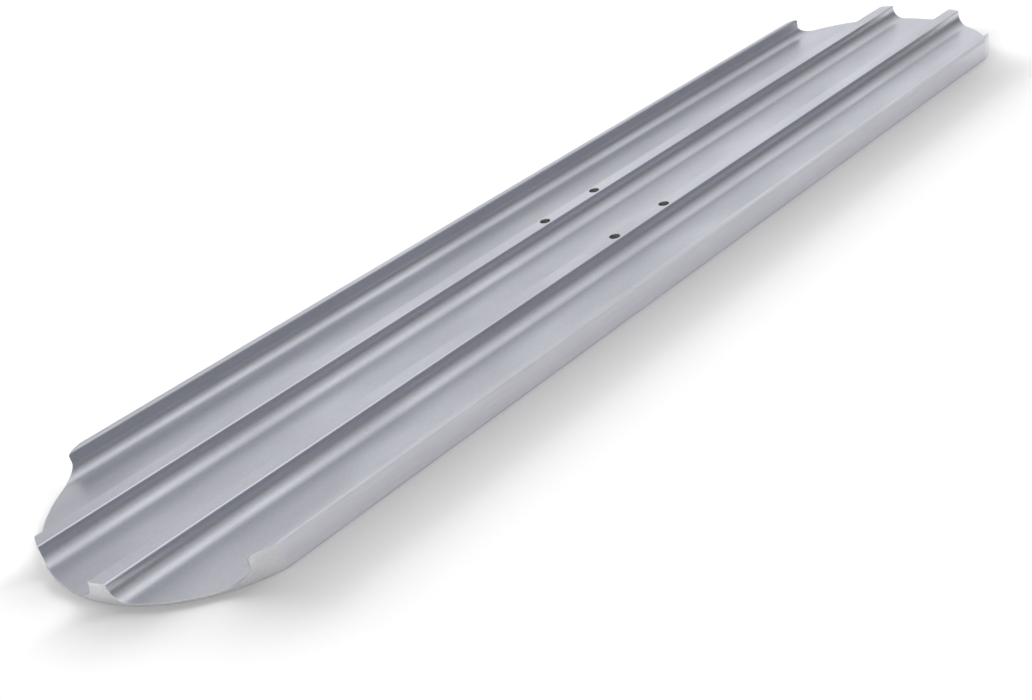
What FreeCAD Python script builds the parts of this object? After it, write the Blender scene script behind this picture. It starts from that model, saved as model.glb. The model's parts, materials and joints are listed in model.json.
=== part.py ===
import FreeCAD, Part
import math
import os

# Bull float blade: one light-alloy extrusion with an upturned lip along each long edge and two
# solid ribs that carry the handle bracket. Both ends are sawn to a round shape.
# Frame: X along the blade, Y across it, Z up. The origin is the centre of the flat working face.

# Driving dimensions, in millimetres.
BLADE_LENGTH = 914.4
BLADE_WIDTH = 203.2
PLATE_THICKNESS = 2.0
END_RADIUS = 104.8

LIP_HEIGHT = 17.3
LIP_THICKNESS = 6.2
LIP_ROOT_RADIUS = 8.5
LIP_INNER_EDGE_RADIUS = 2.2
LIP_OUTER_EDGE_RADIUS = 2.6
LIP_BOTTOM_EDGE_RADIUS = 1.0

RIB_PITCH = 67.6
RIB_HEIGHT = 14.0
RIB_TOP_WIDTH = 11.6
RIB_ROOT_RADIUS = 10.5
RIB_EDGE_RADIUS = 0.8

HOLE_PITCH = 55.6
HOLE_RADIUS = 3.75
HOLE_DEPTH = 9.5
DRILL_TIP_HEIGHT = 1.5
COUNTERSINK = 0.2

HALF_LENGTH = BLADE_LENGTH / 2
HALF_WIDTH = BLADE_WIDTH / 2
UP = FreeCAD.Vector(0, 0, 1)


def section_corners():
    """Corners of the upper half-section at Y > 0, as (y, z, corner radius), from the middle outwards."""
    rib_inner = RIB_PITCH / 2 - RIB_TOP_WIDTH / 2
    rib_outer = RIB_PITCH / 2 + RIB_TOP_WIDTH / 2
    lip_inner = HALF_WIDTH - LIP_THICKNESS
    return [
        (rib_inner, PLATE_THICKNESS, RIB_ROOT_RADIUS),
        (rib_inner, RIB_HEIGHT, RIB_EDGE_RADIUS),
        (rib_outer, RIB_HEIGHT, RIB_EDGE_RADIUS),
        (rib_outer, PLATE_THICKNESS, RIB_ROOT_RADIUS),
        (lip_inner, PLATE_THICKNESS, LIP_ROOT_RADIUS),
        (lip_inner, LIP_HEIGHT, LIP_INNER_EDGE_RADIUS),
        (HALF_WIDTH, LIP_HEIGHT, LIP_OUTER_EDGE_RADIUS),
        (HALF_WIDTH, 0.0, LIP_BOTTOM_EDGE_RADIUS),
    ]


def rounded_wire(corners, x):
    """A closed wire at one X, straight between the corners and with a tangent arc at each of them."""
    ends = []
    edges = []
    count = len(corners)
    for i in range(count):
        y, z, radius = corners[i]
        corner = FreeCAD.Vector(x, y, z)
        before = FreeCAD.Vector(x, *corners[i - 1][:2]) - corner
        after = FreeCAD.Vector(x, *corners[(i + 1) % count][:2]) - corner
        before.normalize()
        after.normalize()
        half_turn = before.getAngle(after) / 2
        setback = radius / math.tan(half_turn)
        inwards = (before + after).normalize()
        crown = corner + inwards * (radius / math.sin(half_turn) - radius)
        start = corner + before * setback
        end = corner + after * setback
        edges.append(Part.Arc(start, crown, end).toShape())
        ends.append((start, end))
    for i in range(count):
        edges.append(Part.makeLine(ends[i - 1][1], ends[i][0]))
    return Part.Wire(Part.__sortEdges__(edges))


def extrusion():
    """The full-length bar with the blade's cross-section."""
    half = section_corners()
    mirrored = [(-y, z, radius) for y, z, radius in reversed(half)]
    section = Part.Face(rounded_wire(half + mirrored, -HALF_LENGTH))
    return section.extrude(FreeCAD.Vector(BLADE_LENGTH, 0, 0))


def end_shape():
    """A tall slot-shaped block: its round ends are what the saw leaves of the bar."""
    straight = HALF_LENGTH - END_RADIUS
    height = 2 * LIP_HEIGHT
    base = -LIP_HEIGHT / 2
    block = Part.makeBox(2 * straight, 2 * END_RADIUS, height, FreeCAD.Vector(-straight, -END_RADIUS, base))
    for x in (-straight, straight):
        block = block.fuse(Part.makeCylinder(END_RADIUS, height, FreeCAD.Vector(x, 0, base), UP))
    return block.removeSplitter()


def bracket_hole(x, y):
    """A blind bolt hole from the top of a rib, with a countersunk mouth and a drilled tip."""
    bottom = RIB_HEIGHT - HOLE_DEPTH
    mouth_radius = HOLE_RADIUS + COUNTERSINK
    bore = Part.makeCylinder(HOLE_RADIUS, HOLE_DEPTH, FreeCAD.Vector(x, y, bottom), UP)
    tip = Part.makeCone(0, HOLE_RADIUS, DRILL_TIP_HEIGHT, FreeCAD.Vector(x, y, bottom - DRILL_TIP_HEIGHT), UP)
    mouth_base = FreeCAD.Vector(x, y, RIB_HEIGHT - COUNTERSINK)
    mouth = Part.makeCone(HOLE_RADIUS, mouth_radius, COUNTERSINK, mouth_base, UP)
    return bore.fuse([tip, mouth])


def float_blade():
    blade = extrusion().common(end_shape())
    holes = [bracket_hole(x, y) for x in (-HOLE_PITCH / 2, HOLE_PITCH / 2) for y in (-RIB_PITCH / 2, RIB_PITCH / 2)]
    blade = blade.cut(holes)
    return blade.removeSplitter()


def main():
    os.makedirs("parts", exist_ok=True)
    blade = float_blade()
    blade.exportStep("parts/float_blade.step")
    box = blade.BoundBox
    print("solids", len(blade.Solids), "valid", blade.isValid())
    print("size", round(box.XLength, 3), round(box.YLength, 3), round(box.ZLength, 3), "lowest", round(box.ZMin, 3))
    print("volume, cubic centimetres", round(blade.Volume / 1000, 1))


main()
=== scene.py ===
"""A bare bull float blade: one light-alloy extrusion, sawn round at both ends, on a white floor."""

import json
import math

import bmesh
import bpy
import numpy as np
from mathutils import Matrix, Vector
from mathutils.geometry import delaunay_2d_cdt


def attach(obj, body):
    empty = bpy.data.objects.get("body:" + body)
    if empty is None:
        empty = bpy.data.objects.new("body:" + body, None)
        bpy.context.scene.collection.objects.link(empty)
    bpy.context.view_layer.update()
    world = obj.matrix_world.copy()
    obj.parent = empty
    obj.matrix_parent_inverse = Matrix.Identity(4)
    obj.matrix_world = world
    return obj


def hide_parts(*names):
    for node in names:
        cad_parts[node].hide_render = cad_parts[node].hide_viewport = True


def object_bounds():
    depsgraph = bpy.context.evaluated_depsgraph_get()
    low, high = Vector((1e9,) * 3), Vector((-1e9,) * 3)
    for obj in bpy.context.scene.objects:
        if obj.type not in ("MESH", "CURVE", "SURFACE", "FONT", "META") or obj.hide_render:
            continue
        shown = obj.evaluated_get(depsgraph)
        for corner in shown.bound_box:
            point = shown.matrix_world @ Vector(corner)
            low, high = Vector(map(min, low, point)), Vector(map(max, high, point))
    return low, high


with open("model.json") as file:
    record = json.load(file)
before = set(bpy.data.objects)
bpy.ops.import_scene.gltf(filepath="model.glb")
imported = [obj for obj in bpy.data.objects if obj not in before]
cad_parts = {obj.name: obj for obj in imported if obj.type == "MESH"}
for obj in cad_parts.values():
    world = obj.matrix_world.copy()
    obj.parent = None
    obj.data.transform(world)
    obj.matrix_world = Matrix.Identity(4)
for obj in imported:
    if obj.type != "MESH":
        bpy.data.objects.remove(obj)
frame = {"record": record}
CAD_LOW, CAD_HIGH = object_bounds()
MOUNTS = {mount["name"]: mount for mount in frame["record"]["mounts"]}
BRACKET = MOUNTS["bracket_holes"]["dims"]
MM = 0.001

# The blade's sizes, in metres. The frame gives the overall box, the ribs' height and the holes.
HALF_LENGTH = (CAD_HIGH.x - CAD_LOW.x) / 2
HALF_WIDTH = (CAD_HIGH.y - CAD_LOW.y) / 2
LIP_HEIGHT = CAD_HIGH.z
RIB_HEIGHT = MOUNTS["rib_seat"]["pos_m"][2]
RIB_CENTRE = BRACKET["spacing_y_mm"] * MM / 2
HOLE_X = BRACKET["spacing_x_mm"] * MM / 2
HOLE_RADIUS = BRACKET["hole_r_mm"] * MM
PLATE_THICKNESS = 2.0 * MM
END_RADIUS = 104.8 * MM
LIP_THICKNESS = 6.2 * MM
RIB_HALF_TOP = 5.8 * MM
RIB_ROOT_RADIUS = 10.5 * MM
RIB_EDGE_RADIUS = 0.8 * MM
LIP_ROOT_RADIUS = 8.5 * MM
LIP_INNER_EDGE_RADIUS = 2.2 * MM
LIP_OUTER_EDGE_RADIUS = 2.6 * MM
LIP_BOTTOM_EDGE_RADIUS = 1.0 * MM
CUT_EDGE = 0.25 * MM

HOLE_BOTTOM = RIB_HEIGHT - 9.5 * MM
HOLE_TIP = HOLE_BOTTOM - 1.5 * MM
COUNTERSINK = 0.2 * MM
# A ring round the countersink keeps the rib's top flat in the shading; the countersink starts just below it.
MOUTH_RING = 1.3 * COUNTERSINK
MOUTH_DROP = 0.1 * COUNTERSINK
THREAD_PITCH = 1.41 * MM
THREAD_HALF_DEPTH = 0.15 * MM
# The thread's crests and roots are cut flat at this part of the half depth.
THREAD_FLAT = 0.8
THREAD_FADE_IN = 3 * THREAD_PITCH
THREAD_FADE_OUT = THREAD_PITCH

# Colours and finish.
ALLOY_COLOR = (0.585, 0.595, 0.650)
SKIN_ROUGHNESS = 0.40
LIP_FACE_ROUGHNESS = 0.55
SAWN_ROUGHNESS = 0.5
DRILLED_ROUGHNESS = 0.6
# The lips' outer faces are painted lighter than the skin: a painted reflection of the bright floor, under
# the scuff marks.
LIP_PAINTED_REFLECTION_COLOR = (0.77, 0.765, 0.83)
# A painted highlight on the ribs' top edges facing the near side, growing from mid-length to full at this X.
HIGHLIGHT_GAIN = 1.5
HIGHLIGHT_FULL_AT = -0.7 * HALF_LENGTH
SAWN_COLOR = (0.80, 0.80, 0.82)
DRILLED_COLOR = (0.42, 0.42, 0.42)
FLOOR_COLOR = (0.85, 0.85, 0.85)

# The view.
CAMERA_PLACE = Vector((-0.62831, -0.62335, 0.41014))
CAMERA_LOOK = Vector((0.55802, 0.67151, -0.48753))
CAMERA_UP = Vector((0.47489, 0.22337, 0.85122))
SENSOR_WIDTH_MM = 36.0
LENS_MM = 46.02
NEAR_CLIP = 0.01
FLOOR_HALF_SIZE = 24.0
BACKDROP_RADIUS = FLOOR_HALF_SIZE / 2
FAR_CLIP = 4 * FLOOR_HALF_SIZE

# How finely the mesh is divided.
ARC_STEP = math.radians(5)
FLAT_STEP = 2.0 * MM
RIB_TOP_STEPS = 16
HOLE_PATCH = 5.4 * MM
MIDDLE_REACH = 0.300
MIDDLE_STEP = 0.015
OUTER_STEPS = 8
THREAD_STEPS = 8
CAP_GRID = 1.5 * MM

# Differences smaller than these are rounding errors.
TOLERANCE = 1e-6
FINE_TOLERANCE = 1e-7


# The cross-section

def half_section():
    """Corners of the section at Y > 0, from the middle of its top round to its bottom.

    Each is (y, z, corner radius).
    """
    inner, outer = RIB_CENTRE - RIB_HALF_TOP, RIB_CENTRE + RIB_HALF_TOP
    lip = HALF_WIDTH - LIP_THICKNESS
    return [
        (inner, PLATE_THICKNESS, RIB_ROOT_RADIUS),
        (inner, RIB_HEIGHT, RIB_EDGE_RADIUS),
        (outer, RIB_HEIGHT, RIB_EDGE_RADIUS),
        (outer, PLATE_THICKNESS, RIB_ROOT_RADIUS),
        (lip, PLATE_THICKNESS, LIP_ROOT_RADIUS),
        (lip, LIP_HEIGHT, LIP_INNER_EDGE_RADIUS),
        (HALF_WIDTH, LIP_HEIGHT, LIP_OUTER_EDGE_RADIUS),
        (HALF_WIDTH, 0.0, LIP_BOTTOM_EDGE_RADIUS),
    ]


def corner_arc(before, corner, after, radius):
    """Points and outward normals round one corner of the section, which runs clockwise seen from -X."""
    to_before = (before - corner).normalized()
    to_after = (after - corner).normalized()
    half_angle = to_before.angle(to_after) / 2
    centre = corner + (to_before + to_after).normalized() * (radius / math.sin(half_angle))
    start = corner + to_before * (radius / math.tan(half_angle)) - centre
    turn = math.pi - 2 * half_angle
    convex = to_before.x * to_after.y - to_before.y * to_after.x > 0
    sign = 1 if convex else -1
    steps = max(3, round(turn / ARC_STEP))
    arc = []
    for k in range(steps + 1):
        spoke = Matrix.Rotation(-sign * turn * k / steps, 2) @ start
        arc.append((centre + spoke, spoke.normalized() * sign))
    return arc


def section_outline():
    """The closed section as (point, normal) in the Y-Z plane, with the flats divided into short steps."""
    half = half_section()
    corners = [(-y, z, radius) for y, z, radius in reversed(half)] + half
    count = len(corners)
    places = [Vector((y, z)) for y, z, _ in corners]
    outline = []
    for i in range(count):
        arc = corner_arc(places[i - 1], places[i], places[(i + 1) % count], corners[i][2])
        if outline:
            outline += flat_steps(outline[-1], arc[0])
        outline += arc
    return outline + flat_steps(outline[-1], outline[0])


def flat_steps(start, end):
    """Points strictly between two arcs' ends, along the flat that joins them."""
    span = (end[0] - start[0]).length
    on_rib_top = max(abs(point[0].y - RIB_HEIGHT) for point in (start, end)) < TOLERANCE
    steps = RIB_TOP_STEPS if on_rib_top else max(1, math.ceil(span / FLAT_STEP))
    return [(start[0].lerp(end[0], k / steps), start[1]) for k in range(1, steps)]


def end_reach(y):
    """How far the round end reaches along X at one Y."""
    return HALF_LENGTH - END_RADIUS + math.sqrt(END_RADIUS**2 - y * y)


# Stations along the blade: fixed in the middle, where the holes are, and stretched to the round ends
# outside it.

def middle_stations():
    """The fixed stations, with finer steps across the squares that hold the holes."""
    patches = [hole + edge for hole in (-HOLE_X, HOLE_X) for edge in (-HOLE_PATCH, HOLE_PATCH)]
    edges = [-MIDDLE_REACH, *patches, MIDDLE_REACH]
    stations = [edges[0]]
    for low, high in zip(edges, edges[1:]):
        is_patch = abs(high - low - 2 * HOLE_PATCH) < TOLERANCE
        steps = RIB_TOP_STEPS if is_patch else math.ceil((high - low) / MIDDLE_STEP)
        stations += [low + (high - low) * k / steps for k in range(1, steps + 1)]
    return stations


def stations_at(y):
    """Every station's X for a section point at one Y, from one end to the other."""
    reach = end_reach(y) - CUT_EDGE
    outer = [MIDDLE_REACH + (reach - MIDDLE_REACH) * k / OUTER_STEPS for k in range(1, OUTER_STEPS + 1)]
    return [-x for x in reversed(outer)] + middle_stations() + outer


class MeshParts:
    """Vertices, faces and materials; a vertex without a normal of its own gets the faces' average."""

    def __init__(self):
        self.points, self.normals, self.faces, self.materials = [], [], [], []

    def add(self, point, normal=(0, 0, 0)):
        self.points.append(tuple(point))
        self.normals.append(tuple(normal))
        return len(self.points) - 1

    def face(self, corners, material):
        self.faces.append(tuple(corners))
        self.materials.append(material)


# Material slots, in the order in which the materials are appended.
SKIN, LIP_FACE, EDGE_HIGHLIGHT, SAWN, DRILLED = range(5)


def add_skin(parts, outline):
    """The extruded surface, as one row of vertices along X for each point of the outline."""
    rows = []
    for place, normal in outline:
        across = (0, normal.x, normal.y)
        rows.append([parts.add((x, place.x, place.y), across) for x in stations_at(place.x)])
    return rows


def rib_top_range(outline, side):
    """First and last index of the outline's flat on the top of one rib."""
    on_top = [
        i for i, (place, _) in enumerate(outline)
        if abs(place.y - RIB_HEIGHT) < FINE_TOLERANCE and abs(place.x - side * RIB_CENTRE) < RIB_HALF_TOP
    ]
    return on_top[0], on_top[-1]


def cover_skin(parts, rows, outline):
    """Quads over the skin, leaving out the square round each hole.

    Returns those squares as (first row, last row, left station, right station, hole's x, hole's y).
    """
    xs = stations_at(0.0)
    squares = []
    for side in (-1, 1):
        first, last = rib_top_range(outline, side)
        for x in (-HOLE_X, HOLE_X):
            left = min(range(len(xs)), key=lambda j: abs(xs[j] - (x - HOLE_PATCH)))
            squares.append((first, last, left, left + RIB_TOP_STEPS, x, side * RIB_CENTRE))
    count = len(rows)
    for i in range(count):
        here, there = rows[i], rows[(i + 1) % count]
        material = skin_slot(outline[i], outline[(i + 1) % count])
        for j in range(len(here) - 1):
            if any(a <= i < b and c <= j < d for a, b, c, d, _, _ in squares):
                continue
            parts.face((here[j], here[j + 1], there[j + 1], there[j]), material)
    return squares


def skin_slot(start, end):
    """The material of the strip between two neighbouring points of the section."""
    lowest = min(start[0].y, end[0].y)
    highest = max(start[0].y, end[0].y)
    on_outer_face = min(abs(start[0].x), abs(end[0].x)) > HALF_WIDTH - LIP_OUTER_EDGE_RADIUS / 2
    # The lips' outer faces take the lighter finish, a painted reflection of the bright floor.
    if on_outer_face and lowest > 0:
        return LIP_FACE
    faces_near_side = start[1].x + end[1].x < -TOLERANCE
    on_rib_edge = lowest > RIB_HEIGHT - RIB_EDGE_RADIUS - TOLERANCE and highest < RIB_HEIGHT + TOLERANCE
    # The ribs' top edges facing the near side get a painted highlight.
    if on_rib_edge and faces_near_side:
        return EDGE_HIGHLIGHT
    return SKIN


def add_hole(parts, rows, square):
    """A tapped blind hole in one square: a flat ring, a countersunk mouth, a thread and a drilled tip."""
    first, last, left, right, x, y = square
    border = [rows[i][left] for i in range(first, last)]
    border += [rows[last][j] for j in range(left, right)]
    border += [rows[i][right] for i in range(last, first, -1)]
    border += [rows[first][j] for j in range(right, left, -1)]
    count = len(border)
    start = math.atan2(parts.points[border[0]][1] - y, parts.points[border[0]][0] - x)
    way = math.atan2(parts.points[border[1]][1] - y, parts.points[border[1]][0] - x) - start
    step = math.copysign(2 * math.pi / count, way)
    angles = [start + step * k for k in range(count)]
    upper = RIB_HEIGHT - COUNTERSINK
    thread_length = upper - HOLE_BOTTOM
    rings = [(lambda a: HOLE_RADIUS + MOUTH_RING, RIB_HEIGHT, SKIN)]
    rings.append((lambda a: HOLE_RADIUS + COUNTERSINK, RIB_HEIGHT - MOUTH_DROP, DRILLED))
    rows_down = math.ceil(THREAD_STEPS * thread_length / THREAD_PITCH)
    for k in range(rows_down + 1):
        depth = thread_length * k / rows_down
        rings.append((thread_radius(depth, thread_length), upper - depth, DRILLED))
    previous = border
    for radius, z, material in rings:
        normal = (0, 0, 1) if material == SKIN else (0, 0, 0)
        ring = []
        for a in angles:
            place = (x + radius(a) * math.cos(a), y + radius(a) * math.sin(a), z)
            ring.append(parts.add(place, normal))
        for k in range(count):
            n = (k + 1) % count
            parts.face((previous[k], ring[k], ring[n], previous[n]), material)
        previous = ring
    tip = parts.add((x, y, HOLE_TIP))
    for k in range(count):
        parts.face((previous[k], tip, previous[(k + 1) % count]), DRILLED)


def thread_radius(depth, length):
    """The wall's radius at one depth, as a function of the angle; the thread fades at both ends."""
    fade = min(1.0, depth / THREAD_FADE_IN, (length - depth) / THREAD_FADE_OUT)

    def radius(angle):
        turns = (depth / THREAD_PITCH - angle / (2 * math.pi)) % 1.0
        wave = 4 * abs(turns - 0.5) - 1
        return HOLE_RADIUS + fade * THREAD_HALF_DEPTH * max(-THREAD_FLAT, min(THREAD_FLAT, wave))
    return radius


def add_end(parts, rows, outline, side):
    """One sawn end: a fine bevel round its rim, then the flat-sawn face on the end's round wall."""
    column = -1 if side > 0 else 0
    rim = [place - normal * CUT_EDGE for place, normal in outline]
    inside = cap_grid(rim)
    count = len(rim)
    edges = [(k, (k + 1) % count) for k in range(count)]
    verts, _, triangles, origins, _, _ = delaunay_2d_cdt(rim + inside, edges, [], 1, FINE_TOLERANCE)
    on_cap = []
    vertex_of = {}
    for place, sources in zip(verts, origins):
        spoke = Vector((math.sqrt(END_RADIUS**2 - place.x**2), place.x)) / END_RADIUS
        index = parts.add((side * end_reach(place.x), place.x, place.y), (side * spoke.x, spoke.y, 0))
        on_cap.append(index)
        for source in sources:
            vertex_of[source] = index
    for triangle in triangles:
        corners = [on_cap[k] for k in triangle]
        parts.face(corners if side > 0 else reversed(corners), SAWN)
    for k in range(count):
        n = (k + 1) % count
        quad = (rows[k][column], rows[n][column], vertex_of[n], vertex_of[k])
        parts.face(quad if side < 0 else reversed(quad), SAWN)


def cap_grid(rim):
    """Points of a square grid inside the rim, well clear of it."""
    ring = np.array(rim)
    grid = []
    for y in np.arange(-HALF_WIDTH, HALF_WIDTH, CAP_GRID):
        for z in np.arange(PLATE_THICKNESS / 2, LIP_HEIGHT, CAP_GRID):
            if inside_ring(ring, y, z) and np.hypot(ring[:, 0] - y, ring[:, 1] - z).min() > CAP_GRID / 2:
                grid.append(Vector((y, z)))
    return grid


def inside_ring(ring, y, z):
    """Whether a point is inside a closed outline, by counting the edges that lie across it towards +Y."""
    y0, z0 = ring[:, 0], ring[:, 1]
    y1, z1 = np.roll(y0, -1), np.roll(z0, -1)
    crosses = (z0 > z) != (z1 > z)
    with np.errstate(divide="ignore", invalid="ignore"):
        meets = y0 + (z - z0) / (z1 - z0) * (y1 - y0)
    return np.count_nonzero(crosses & (meets > y)) % 2 == 1


def make_blade():
    """The whole blade as one mesh, whose faces carry the slot numbers."""
    parts = MeshParts()
    outline = section_outline()
    rows = add_skin(parts, outline)
    for square in cover_skin(parts, rows, outline):
        add_hole(parts, rows, square)
    for side in (-1, 1):
        add_end(parts, rows, outline, side)
    mesh = bpy.data.meshes.new("float_blade_extrusion")
    mesh.from_pydata(parts.points, [], parts.faces)
    mesh.validate()
    mesh.polygons.foreach_set("material_index", parts.materials)
    mesh.polygons.foreach_set("use_smooth", [True] * len(parts.faces))
    mesh.normals_split_custom_set_from_vertices(parts.normals)
    blade = bpy.data.objects.new("float_blade_extrusion", mesh)
    bpy.context.scene.collection.objects.link(blade)
    return blade


# Materials

# The part of a noise's range, 0 to 1, that holds nearly all of its values.
NOISE_LOW, NOISE_HIGH = 0.3, 0.7
# How far a finish varies: as multiples of the base colour, and for the skin's roughness either way.
SKIN_TINT = (0.90, 1.10)
SKIN_ROUGHNESS_SWING = 0.06
SCUFF_TINT = (0.97, 1.03)
SAWN_TINT = (0.92, 1.05)
# The heights of the bumps.
DIE_LINE_HEIGHT = 0.010 * MM
WAVE_HEIGHT = 0.05 * MM
SCUFF_HEIGHT = 0.01 * MM
SAW_MARK_HEIGHT = 0.03 * MM
TOOL_MARK_HEIGHT = 0.01 * MM


def new_material(name, metallic, color, roughness):
    """A material with even values set on its shader; returns the material, node tree and shader."""
    material = bpy.data.materials.new(name)
    material.use_nodes = True
    tree = material.node_tree
    shader = tree.nodes["Principled BSDF"]
    shader.inputs["Metallic"].default_value = metallic
    shader.inputs["Base Color"].default_value = (*color, 1)
    shader.inputs["Roughness"].default_value = roughness
    return material, tree, shader


def noise(tree, scale, per_axis=(1, 1, 1), detail=2.0):
    """Noise over the object's own coordinates; the scale is in features per metre, stretched by axis."""
    place = tree.nodes.new("ShaderNodeTexCoord")
    stretch = tree.nodes.new("ShaderNodeVectorMath")
    stretch.operation = "MULTIPLY"
    stretch.inputs[1].default_value = per_axis
    texture = tree.nodes.new("ShaderNodeTexNoise")
    texture.inputs["Scale"].default_value = scale
    texture.inputs["Detail"].default_value = detail
    tree.links.new(place.outputs["Object"], stretch.inputs[0])
    tree.links.new(stretch.outputs[0], texture.inputs["Vector"])
    return texture.outputs["Fac"]


def spread(tree, source, low, high):
    """Map the middle of a noise's range onto low..high."""
    remap = tree.nodes.new("ShaderNodeMapRange")
    remap.inputs["From Min"].default_value = NOISE_LOW
    remap.inputs["From Max"].default_value = NOISE_HIGH
    remap.inputs["To Min"].default_value = low
    remap.inputs["To Max"].default_value = high
    tree.links.new(source, remap.inputs["Value"])
    return remap.outputs["Result"]


def bumps(tree, shader, layers):
    """Stack bump layers of (height source, height in metres) on the shader's normal."""
    previous = None
    for source, height in layers:
        bump = tree.nodes.new("ShaderNodeBump")
        bump.inputs["Distance"].default_value = height
        tree.links.new(source, bump.inputs["Height"])
        if previous:
            tree.links.new(previous, bump.inputs["Normal"])
        previous = bump.outputs["Normal"]
    tree.links.new(previous, shader.inputs["Normal"])


def tinted(tree, shader, color, factor, low, high):
    """Vary the base colour between two multiples of itself, by a factor that runs from 0 to 1."""
    shade = tree.nodes.new("ShaderNodeMix")
    shade.data_type = "RGBA"
    shade.inputs["A"].default_value = (*[low * c for c in color], 1)
    shade.inputs["B"].default_value = (*[high * c for c in color], 1)
    tree.links.new(factor, shade.inputs["Factor"])
    tree.links.new(shade.outputs["Result"], shader.inputs["Base Color"])


def average(tree, first, second):
    """Half the sum of two sources."""
    node = tree.nodes.new("ShaderNodeMath")
    node.operation = "MULTIPLY_ADD"
    node.inputs[1].default_value = 0.5
    half = tree.nodes.new("ShaderNodeMath")
    half.operation = "MULTIPLY"
    half.inputs[1].default_value = 0.5
    tree.links.new(first, node.inputs[0])
    tree.links.new(second, half.inputs[0])
    tree.links.new(half.outputs[0], node.inputs[2])
    return node.outputs[0]


def skin_material():
    """Mill-finish extrusion: a bluish grey metal with fine die lines along it and slow, cloudy changes."""
    material, tree, shader = new_material("extruded_light_alloy", 1.0, ALLOY_COLOR, SKIN_ROUGHNESS)
    die_lines = noise(tree, scale=700, per_axis=(0.006, 1, 1), detail=3.0)
    grain = noise(tree, scale=1400, per_axis=(0.25, 1, 1))
    clouds = noise(tree, scale=26, per_axis=(0.35, 1, 1))
    waves = noise(tree, scale=40, per_axis=(0.2, 1, 1), detail=1.0)
    tinted(tree, shader, ALLOY_COLOR, spread(tree, average(tree, grain, clouds), 0, 1), *SKIN_TINT)
    duller, shinier = SKIN_ROUGHNESS + SKIN_ROUGHNESS_SWING, SKIN_ROUGHNESS - SKIN_ROUGHNESS_SWING
    tree.links.new(spread(tree, clouds, duller, shinier), shader.inputs["Roughness"])
    bumps(tree, shader, [(die_lines, DIE_LINE_HEIGHT), (waves, WAVE_HEIGHT)])
    return material


def lip_face_material():
    """The lips' outer faces, which rub along forms and racks: scuffed and duller than the rest; their
    lighter, partly diffuse colour is a painted reflection of the bright floor.
    """
    material, tree, shader = new_material("scuffed_and_painted_reflection_alloy", 0.5, LIP_PAINTED_REFLECTION_COLOR, LIP_FACE_ROUGHNESS)
    scuffs = noise(tree, scale=900, per_axis=(0.05, 1, 1), detail=3.0)
    tinted(tree, shader, LIP_PAINTED_REFLECTION_COLOR, spread(tree, scuffs, 0, 1), *SCUFF_TINT)
    bumps(tree, shader, [(scuffs, SCUFF_HEIGHT)])
    return material


def edge_highlight_material():
    """The ribs' near top edges: a painted highlight, brighter from mid-length towards the near end."""
    material, tree, shader = new_material("painted_highlight_alloy", 1.0, ALLOY_COLOR, SKIN_ROUGHNESS)
    place = tree.nodes.new("ShaderNodeTexCoord")
    axes = tree.nodes.new("ShaderNodeSeparateXYZ")
    highlight_fade = tree.nodes.new("ShaderNodeMapRange")
    highlight_fade.inputs["From Min"].default_value = 0.0
    highlight_fade.inputs["From Max"].default_value = HIGHLIGHT_FULL_AT
    tree.links.new(place.outputs["Object"], axes.inputs[0])
    tree.links.new(axes.outputs["X"], highlight_fade.inputs["Value"])
    tinted(tree, shader, ALLOY_COLOR, highlight_fade.outputs["Result"], 1.0, HIGHLIGHT_GAIN)
    return material


def sawn_material():
    """Sawn and filed ends: brighter, rougher and speckled metal, with the saw's marks."""
    material, tree, shader = new_material("sawn_light_alloy", 0.85, SAWN_COLOR, SAWN_ROUGHNESS)
    saw_marks = noise(tree, scale=1800, per_axis=(1, 1, 0.15))
    speckle = noise(tree, scale=1300)
    tinted(tree, shader, SAWN_COLOR, spread(tree, speckle, 0, 1), *SAWN_TINT)
    bumps(tree, shader, [(saw_marks, SAW_MARK_HEIGHT)])
    return material


def drilled_material():
    """The tapped holes: the same alloy, darker and rougher than the skin, with the drill's marks."""
    material, tree, shader = new_material("tapped_light_alloy", 1.0, DRILLED_COLOR, DRILLED_ROUGHNESS)
    tool_marks = noise(tree, scale=1500, per_axis=(1, 1, 3))
    bumps(tree, shader, [(tool_marks, TOOL_MARK_HEIGHT)])
    return material


# Studio

STUDIO_FILL = 0.21
# Soft panels seen in the metal: azimuth from +X towards +Y, elevation, radius of the even part and width
# of the soft rim, all in degrees, and brightness.
PANELS = {
    "far_side": (42, 14, 20, 34, 0.80),
    "far_left": (84, 28, 5, 24, 0.16),
    "overhead": (0, 82, 13, 24, 0.78),
    "overhead_right": (350, 50, 12, 24, 0.45),
    "left": (208, 40, 20, 23.5, 1.40),
    "right": (300, 44, 6, 20, 0.40),
}
# Lights that only the floor and the duller surfaces show, with their angles in degrees. The row of low
# lights casts the long soft shadow, and the dome lightens it.
ROW_AZIMUTHS = range(-10, 99, 12)
ROW_ELEVATION = 11
ROW_SPREAD = 22
ROW_STRENGTH = 1.4
DOME_SPREAD = 140
DOME_STRENGTH = 1.4


def toward(azimuth, elevation):
    """The direction from the blade to a place in the studio."""
    a, e = math.radians(azimuth), math.radians(elevation)
    return Vector((math.cos(e) * math.cos(a), math.cos(e) * math.sin(a), math.sin(e)))


def make_world():
    """The studio that the metal mirrors: an even fill with soft-edged bright panels."""
    world = bpy.data.worlds.new("studio")
    bpy.context.scene.world = world
    world.use_nodes = True
    world.cycles_visibility.diffuse = False
    tree = world.node_tree
    direction = tree.nodes.new("ShaderNodeTexCoord").outputs["Generated"]
    total = None
    for azimuth, elevation, radius, rim, brightness in PANELS.values():
        panel = soft_panel(tree, direction, toward(azimuth, elevation), radius, rim, brightness)
        total = add(tree, total, panel)
    background = tree.nodes["Background"]
    background.inputs["Color"].default_value = (1, 1, 1, 1)
    tree.links.new(total, background.inputs["Strength"])


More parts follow.
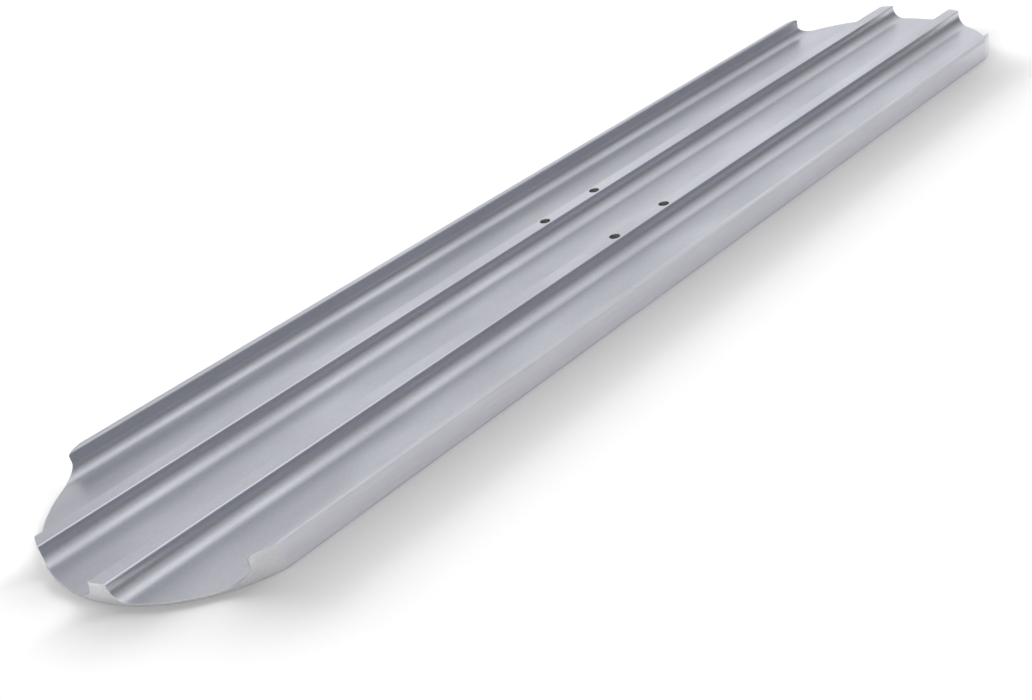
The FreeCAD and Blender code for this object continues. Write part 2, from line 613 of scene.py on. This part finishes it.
def soft_panel(tree, direction, centre, radius, rim, brightness):
    """Brightness round one direction, fading out over the rim."""
    across = tree.nodes.new("ShaderNodeVectorMath")
    across.operation = "DOT_PRODUCT"
    across.inputs[1].default_value = centre
    angle = tree.nodes.new("ShaderNodeMath")
    angle.operation = "ARCCOSINE"
    fade = tree.nodes.new("ShaderNodeMapRange")
    fade.interpolation_type = "SMOOTHSTEP"
    fade.inputs["From Min"].default_value = math.radians(radius)
    fade.inputs["From Max"].default_value = math.radians(radius + rim)
    fade.inputs["To Min"].default_value = brightness
    fade.inputs["To Max"].default_value = 0.0
    tree.links.new(direction, across.inputs[0])
    tree.links.new(across.outputs["Value"], angle.inputs[0])
    tree.links.new(angle.outputs[0], fade.inputs["Value"])
    return fade.outputs["Result"]


def add(tree, total, value):
    """The running sum of the panels, which starts from the even fill."""
    node = tree.nodes.new("ShaderNodeMath")
    node.operation = "ADD"
    node.inputs[0].default_value = STUDIO_FILL
    if total:
        tree.links.new(total, node.inputs[0])
    tree.links.new(value, node.inputs[1])
    return node.outputs[0]


def make_floor_lights():
    """The row of low lights and the dome."""
    for azimuth in ROW_AZIMUTHS:
        distant_light("low_row", toward(azimuth, ROW_ELEVATION), ROW_SPREAD, ROW_STRENGTH)
    distant_light("dome", toward(0, 90), DOME_SPREAD, DOME_STRENGTH)


def distant_light(name, source, spread_angle, strength):
    """A soft-edged sun that mirrors don't show."""
    data = bpy.data.lights.new(name, "SUN")
    data.angle = math.radians(spread_angle)
    data.energy = strength
    light = bpy.data.objects.new(name, data)
    bpy.context.scene.collection.objects.link(light)
    light.rotation_euler = (-source).to_track_quat("-Z", "Y").to_euler()
    light.visible_glossy = False


def make_backdrop():
    """A white dome behind everything, which only the camera sees."""
    mesh = bpy.data.meshes.new("studio_backdrop")
    form = bmesh.new()
    bmesh.ops.create_uvsphere(form, u_segments=64, v_segments=32, radius=BACKDROP_RADIUS)
    form.to_mesh(mesh)
    form.free()
    backdrop = bpy.data.objects.new("studio_backdrop", mesh)
    bpy.context.scene.collection.objects.link(backdrop)
    material, _, shader = new_material("white_backdrop", 0.0, (0, 0, 0), 1.0)
    shader.inputs["Emission Color"].default_value = (1, 1, 1, 1)
    shader.inputs["Emission Strength"].default_value = 1.0
    mesh.materials.append(material)
    for kind in ("diffuse", "glossy", "transmission", "volume_scatter", "shadow"):
        setattr(backdrop, "visible_" + kind, False)


def make_floor():
    """A plain white square under the blade."""
    half = FLOOR_HALF_SIZE
    corners = [(-half, -half, 0), (half, -half, 0), (half, half, 0), (-half, half, 0)]
    mesh = bpy.data.meshes.new("studio_floor")
    mesh.from_pydata(corners, [], [(0, 1, 2, 3)])
    floor = bpy.data.objects.new("studio_floor", mesh)
    bpy.context.scene.collection.objects.link(floor)
    material, _, shader = new_material("white_paper", 0.0, FLOOR_COLOR, 0.9)
    shader.inputs["Specular IOR Level"].default_value = 0.0
    mesh.materials.append(material)


def make_camera():
    """A camera close to the near end, so that the blade runs away to the upper right."""
    data = bpy.data.cameras.new("camera")
    data.sensor_width = SENSOR_WIDTH_MM
    data.lens = LENS_MM
    data.clip_start, data.clip_end = NEAR_CLIP, FAR_CLIP
    camera = bpy.data.objects.new("camera", data)
    bpy.context.scene.collection.objects.link(camera)
    look, up = CAMERA_LOOK.normalized(), CAMERA_UP
    right = look.cross(up).normalized()
    up = right.cross(look)
    camera.location = CAMERA_PLACE
    camera.rotation_euler = Matrix((right, up, -look)).transposed().to_euler()
    bpy.context.scene.camera = camera


bpy.context.scene.view_settings.view_transform = "Standard"
make_camera()
blade = make_blade()
for finish in (skin_material, lip_face_material, edge_highlight_material, sawn_material, drilled_material):
    blade.data.materials.append(finish())
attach(blade, "root")
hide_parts("float_blade")
make_floor()
make_backdrop()
make_world()
make_floor_lights()
